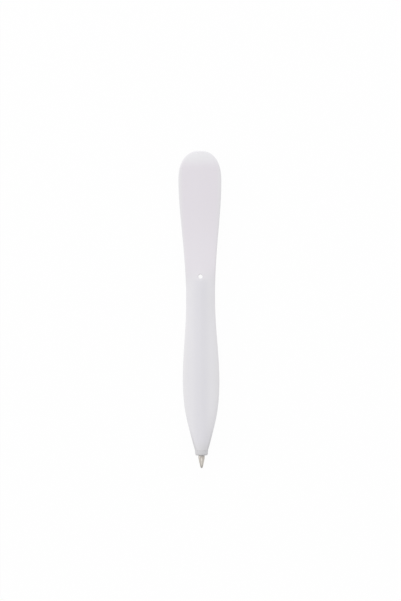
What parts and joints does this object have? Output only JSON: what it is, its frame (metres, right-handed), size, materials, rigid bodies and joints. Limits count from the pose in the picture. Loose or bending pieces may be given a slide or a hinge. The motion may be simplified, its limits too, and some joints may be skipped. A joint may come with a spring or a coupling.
{
  "type": "flat ballpoint pen",
  "caption": "Flat white ballpoint pen with a broad springy clip, a narrow waist with a cord hole, a rounded grip and a pull-out refill with a silver point.",
  "frame": {"origin": "middle of the pen's length and width, on the plane of the flat back that it lies on", "axes": "+Y from the writing ball to the round end of the clip, +Z out of the front face, +X to the right as the front face is seen with the point down"},
  "size_m": [0.0162, 0.12, 0.0058],
  "materials": {
    "shell_white": "fine matte moulded",
    "ring_white": "matte moulded",
    "tube_clear": "translucent extruded",
    "point_silver": "turned nickel silver",
    "ball_carbide": "ground carbide",
    "ink": "wet",
    "grease": "clear"
  },
  "bodies": {
    "barrel": {"back_shell": "shell_white", "front_shell": "shell_white", "nose_ring": "ring_white"},
    "clip": {"clip_tongue": "shell_white"},
    "refill": {"refill_tube": "tube_clear", "refill_point": "point_silver", "ink_column": "ink", "ink_follower": "grease"},
    "ball": {"writing_ball": "ball_carbide"}
  },
  "joints": [
    {"name": "clip_flex", "type": "hinge", "parent": "barrel", "child": "clip", "pos_m": [0, 0.017, 0.0049], "axis": [1, 0, 0], "range_deg": [0, 3.5], "stiffness_Nm_per_rad": 0.9},
    {"name": "refill_slide", "type": "slide", "parent": "barrel", "child": "refill", "axis": [0, -1, 0], "range_m": [0, 0.065]},
    {"name": "ball_roll", "type": "hinge", "parent": "refill", "child": "ball", "pos_m": [0, -0.05965, 0.0029], "axis": [1, 0, 0], "continuous": true}
  ]
}
